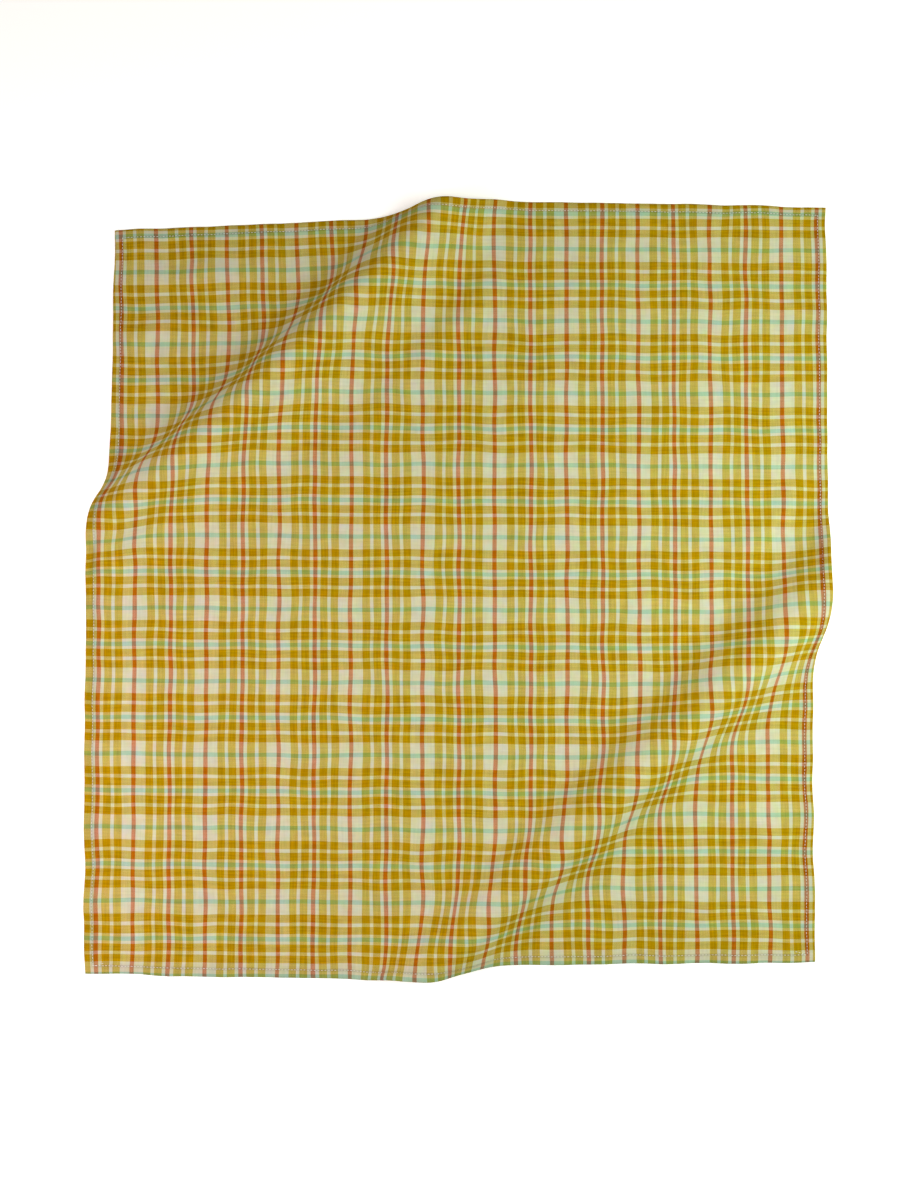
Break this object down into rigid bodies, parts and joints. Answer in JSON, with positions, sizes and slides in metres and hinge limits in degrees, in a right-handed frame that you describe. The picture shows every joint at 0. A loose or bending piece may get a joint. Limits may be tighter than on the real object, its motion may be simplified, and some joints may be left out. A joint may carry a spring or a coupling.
{
  "type": "bandana",
  "caption": "Square cotton bandana in a woven check, laid out face up with a soft raised diagonal fold across each of two opposite corners.",
  "frame": {"origin": "on the surface the cloth rests on, below the middle of its bounding box", "axes": "+X across the cloth towards its right hem, +Y up the cloth towards its top hem, +Z out of its face, away from the surface it rests on"},
  "size_m": [0.5488, 0.5738, 0.0334],
  "materials": {
    "cotton": "matt plain-woven yarn-dyed cotton in a mustard, cream, mint and rust check"
  },
  "bodies": {
    "root": {"cloth": "cotton"}
  },
  "joints": []
}
